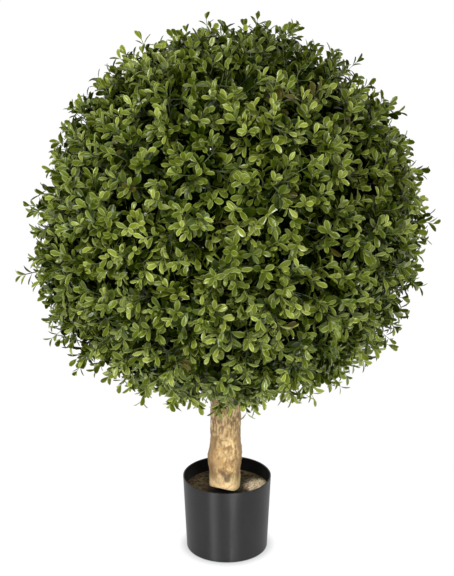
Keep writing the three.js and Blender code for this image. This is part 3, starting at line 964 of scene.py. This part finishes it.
def grow_leaves(twigs):
    """Every leaf: its root, the ways it points and faces, its size, tone, half and bend."""
    rand = np.random.default_rng(TWIG.seed + 1)
    leaves = []
    for twig in twigs:
        a, b, c = twig.line
        length = np.linalg.norm(b - a) + np.linalg.norm(c - b)
        spin = rand.uniform(0, TURN)
        flat = rand.uniform(0, 1) < FLAT.sprays
        from_tip = PAIRS.from_tip
        pair = 0
        while from_tip < length * (1 - twig.bare):
            place, way = on_line(twig.line, 1 - from_tip / length)
            aside, other = cross_ways(way)
            young = max(0.0, 1 - pair / PAIRS.young)
            open_by = LEAF_OPEN.young + LEAF_OPEN.older * (1 - young)
            open_by += rand.normal(0, LEAF_OPEN.spare)
            for turn in (0, math.pi):
                angle = spin + turn + rand.normal(0, LEAF_LOOSE.turn)
                out = aside * math.cos(angle) + other * math.sin(angle)
                aim = unit(leaning(way, out, open_by) + rand.normal(0, LEAF_LOOSE.aim, 3))
                face = way * math.sin(open_by) - out * math.cos(open_by)
                face = unit(face + rand.normal(0, LEAF_LOOSE.face, 3))
                size = (1 - LEAF_SIZE.young * young) * rand.uniform(*LEAF_SIZE.range)
                tip = place + aim * LEAF.length * size
                if not (clear_of_trunk(place) and clear_of_trunk(tip)):
                    continue
                tone = leaf_tone(twig, place, young, pair) + rand.normal(0, LEAF_TONE.spare)
                slim = (1 - LEAF_SLIM.young * young) * rand.uniform(*LEAF_SLIM.range)
                leaves.append(Row(
                    root=place, way=aim, face=face, size=size, tone=tone,
                    side=twig.side, bend=rand.uniform(*LEAF_BEND), fine=pair < PAIRS.fine,
                    wide=twig.wide * slim, hue=twig.hue if pair else 1.0,
                ))
            spin += rand.normal(0, FLAT.spare) if flat and pair > 0 else 0.5 * math.pi
            pair += 1
            from_tip += PAIRS.apart * (PAIRS.first if pair == 1 else rand.uniform(*PAIRS.range))
    return leaves


def leaf_template(columns, rows):
    """A leaf of unit size: (across, along, rise) of its corners, its triangles and which are its rim."""
    inner = [(column * wide, along, abs(column) * wide) for along, wide in rows for column in columns]
    corners = [(0, 0, 0), *inner, (0, 1, 0)]
    triangles, rim = [], []
    count = len(columns)
    for i in range(count - 1):
        edge = count > 3 and i in (0, count - 2)
        triangles.append((0, 2 + i, 1 + i))
        rim.append(edge)
        for row in range(len(rows) - 1):
            low = 1 + row * count + i
            high = low + count
            triangles += [(low, low + 1, high + 1), (low, high + 1, high)]
            rim += [edge, edge]
        last = 1 + (len(rows) - 1) * count + i
        triangles.append((last, last + 1, len(corners) - 1))
        rim.append(edge)
    return np.array(corners, float), np.array(triangles), np.array(rim)


FINE_LEAF = leaf_template([-1, -0.7, 0, 0.7, 1], [(0.1, 0.2), (0.36, 0.72), (0.63, 1.0), (0.87, 0.76)])
PLAIN_LEAF = leaf_template([-1, 0, 1], [(0.2, 0.42), (0.6, 1.0), (0.87, 0.76)])


def tint_of(leaf):
    if leaf.hue < BROWN_SHARE:
        return "brown"
    if leaf.hue < BROWN_SHARE + BLUISH_SHARE:
        return "bluish"
    return next(name for name, most in TINT_STEPS if leaf.tone < most)


def leaf_mesh(group, template):
    """Places, triangles and slots of a group of leaves on one template."""
    corners, triangles, rim = template

    def of_each(name, width):
        return np.array([getattr(leaf, name) for leaf in group], float).reshape(-1, 1, width)

    root, way, face = (of_each(name, 3) for name in ("root", "way", "face"))
    size, bend, breadth = (of_each(name, 1) for name in ("size", "bend", "wide"))
    aside = unit(np.cross(way, face))
    up = np.cross(aside, way)
    wide = corners[None, :, :1] * 0.5 * LEAF.width * breadth
    along = corners[None, :, 1:2] * LEAF.length
    rise = corners[None, :, 2:] * LEAF.fold - bend * corners[None, :, 1:2] ** 2 * LEAF.curl
    places = root + size * (aside * wide + way * along + up * rise)
    offsets = len(corners) * np.arange(len(group))[:, None, None]
    return places.reshape(-1, 3), (triangles[None] + offsets).reshape(-1, 3), np.tile(rim, len(group))


def make_leaves(leaves):
    groups = {}
    for leaf in leaves:
        groups.setdefault((tint_of(leaf), leaf.side), []).append(leaf)
    pieces = []
    paints = {}
    for tint, looks in LEAF_TINTS.items():
        finish = (LEAF_ROUGH, looks.gloss, LEAF_BUMP)
        paints[tint] = [principled(f"leaf_{tint}", looks.blade, *finish)[0]]
        paints[tint].append(principled(f"leaf_{tint}_rim", looks.rim, *finish)[0])
    for (tint, side), group in sorted(groups.items()):
        fine = leaf_mesh([leaf for leaf in group if leaf.fine], FINE_LEAF)
        plain = leaf_mesh([leaf for leaf in group if not leaf.fine], PLAIN_LEAF)
        places = np.concatenate([fine[0], plain[0]])
        triangles = np.concatenate([fine[1], plain[1] + len(fine[0])])
        slots = np.concatenate([fine[2], plain[2]])
        half = "upper" if side > 0 else "lower"
        piece = mesh_object(f"leaves_{tint}_{half}", places, triangles, paints[tint], slots)
        pieces.append((piece, half))
    return pieces


def make_twigs(twigs):
    bump = (700, 0.3, 0.3 * MM)
    paint = mottled_material("twig_green", (0.055, 0.078, 0.016), (0.14, 0.18, 0.065), 60, 0.5, 0.5, bump)
    pieces = []
    turn = turns_round(TWIG.sides)
    for side, half in ((1, "upper"), (-1, "lower")):
        places, faces = [], []
        for twig in twigs:
            if twig.side != side:
                continue
            first = len(places) * TWIG.sides
            for share in np.linspace(0, 1, TWIG.rings):
                place, way = on_line(twig.line, share)
                aside, other = cross_ways(way)
                girth = twig.girth * (1 - TWIG.taper * share)
                ring = np.cos(turn)[:, None] * aside + np.sin(turn)[:, None] * other
                places.append(place + girth * ring)
            faces.append(ring_triangles(TWIG.rings, TWIG.sides, first))
            last = first + (TWIG.rings - 1) * TWIG.sides
            faces.append([(last, last + 1, last + 2), (last, last + 2, last + 3)])
            faces.append([(first, first + 2, first + 1), (first, first + 3, first + 2)])
        piece = mesh_object(f"twigs_{half}", places, np.concatenate(faces), [paint])
        pieces.append((piece, half))
    return pieces


# Dress the frame
pot = make_pot()
soil = make_soil()
grits = make_grits()
trunk = make_trunk()
all_twigs = grow_twigs()
foliage = make_ball_frames() + make_twigs(all_twigs) + make_leaves(grow_leaves(all_twigs))

for piece, node, slot in (
    (pot, "pot", "pot_plastic"),
    (soil, "soil", "gritty_fill"),
    *((grit, "soil", "gritty_fill") for grit in grits),
    (trunk, "trunk", "trunk_wood"),
):
    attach(piece, "root")
    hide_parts(node)
for piece, half in foliage:
    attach(piece, "root")
    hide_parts(f"crown_{half}")


# Studio: white floor and backdrop, soft lights and the photograph's camera
SKY = Row(light=0.17, shine=0.12, backdrop_shine=0.6, start=-0.2, end=0.7)
FLOOR = Row(light=1.75, shine=0.95, half=30.0, shade_reach=0.02)
CAMERA = Row(place=(0, -3.283, 1.7491), down=20.088, focal_pixels=1827.9, photo_width=454, sensor=36)


def seen_strength(tree, light, shine):
    """Strength of a glow: 1 to the camera, another for what it lights, another for what shows in gloss."""
    path = add_node(tree, "ShaderNodeLightPath", {})
    unseen = {"Factor": path["Is Glossy Ray"], "A": light, "B": shine}
    unseen = add_node(tree, "ShaderNodeMix", unseen)["Result"]
    seen = {"Factor": path["Is Camera Ray"], "A": unseen, "B": 1.0}
    return add_node(tree, "ShaderNodeMix", seen)["Result"]


def make_floor():
    """White to the camera but for a soft shade near what stands on it."""
    material, shader = principled("studio_floor", (0.02, 0.02, 0.02), 0.9, 0.0)
    tree = material.node_tree
    near = add_node(tree, "ShaderNodeAmbientOcclusion", {"Distance": FLOOR.shade_reach})["AO"]
    feed(shader["Emission Color"], mix_colour(material, near, (0.3, 0.32, 0.3), (1.0, 1.0, 1.0)))
    feed(shader["Emission Strength"], seen_strength(tree, FLOOR.light, FLOOR.shine))
    corners = FLOOR.half * np.array([(-1, -1, 0), (1, -1, 0), (1, 1, 0), (-1, 1, 0)])
    floor = mesh_object("studio_floor", corners, [(0, 1, 2), (0, 2, 3)], [material])


def area_light(name, place, aim, size, power, spread=180):
    data = bpy.data.lights.new(name, "AREA")
    data.shape = "ELLIPSE"
    data.size, data.size_y = size
    data.energy = power
    data.spread = math.radians(spread)
    light = placed(name, data)
    light.location = place
    light.rotation_euler = (Vector(aim) - Vector(place)).to_track_quat("-Z", "Y").to_euler()


def make_world():
    """White to the camera, a weaker soft light on the tree, and a backdrop that shows in its gloss."""
    world = bpy.data.worlds.new("studio_white")
    world.use_nodes = True
    tree = world.node_tree
    place = add_node(tree, "ShaderNodeTexCoord", {})["Generated"]
    y = add_node(tree, "ShaderNodeSeparateXYZ", {0: place})["Y"]
    behind = {"Value": y, "From Min": SKY.start, "From Max": SKY.end}
    behind.update({"To Min": SKY.shine, "To Max": SKY.backdrop_shine})
    shine = add_node(tree, "ShaderNodeMapRange", behind, interpolation_type="SMOOTHSTEP")["Result"]
    sky = tree.nodes["Background"].inputs
    feed(sky["Color"], (1, 1, 1, 1))
    feed(sky["Strength"], seen_strength(tree, SKY.light, shine))
    bpy.context.scene.world = world


def make_camera():
    data = bpy.data.cameras.new("photo_camera")
    data.sensor_fit = "HORIZONTAL"
    data.sensor_width = CAMERA.sensor
    data.lens = CAMERA.focal_pixels / CAMERA.photo_width * data.sensor_width
    camera = placed("photo_camera", data)
    camera.location = CAMERA.place
    camera.rotation_euler = (math.radians(90 - CAMERA.down), 0, 0)
    bpy.context.scene.camera = camera


make_floor()
make_world()
area_light("key_left", (-1.9, -2.65, 2.8), (0, 0, 0.5), size=(1.5, 1.1), power=101)
area_light("strip_left", (-1.97, -2.62, 0.35), (0, 0, 0.25), size=(0.85, 0.6), power=17)
area_light("fill_right", (1.3, -3.0, 2.5), (0, 0, 0.4), size=(1.2, 1.0), power=47)
area_light("top_soft", (-0.4, 0.0, 3.1), (0, 0, 0.9), size=(1.2, 1.0), power=12)
area_light("low_front", (0.73, -2.55, 2.2), (0, -0.03, 0.1), size=(0.35, 0.35), power=0.29, spread=8)
make_camera()
bpy.context.scene.view_settings.view_transform = "Standard"
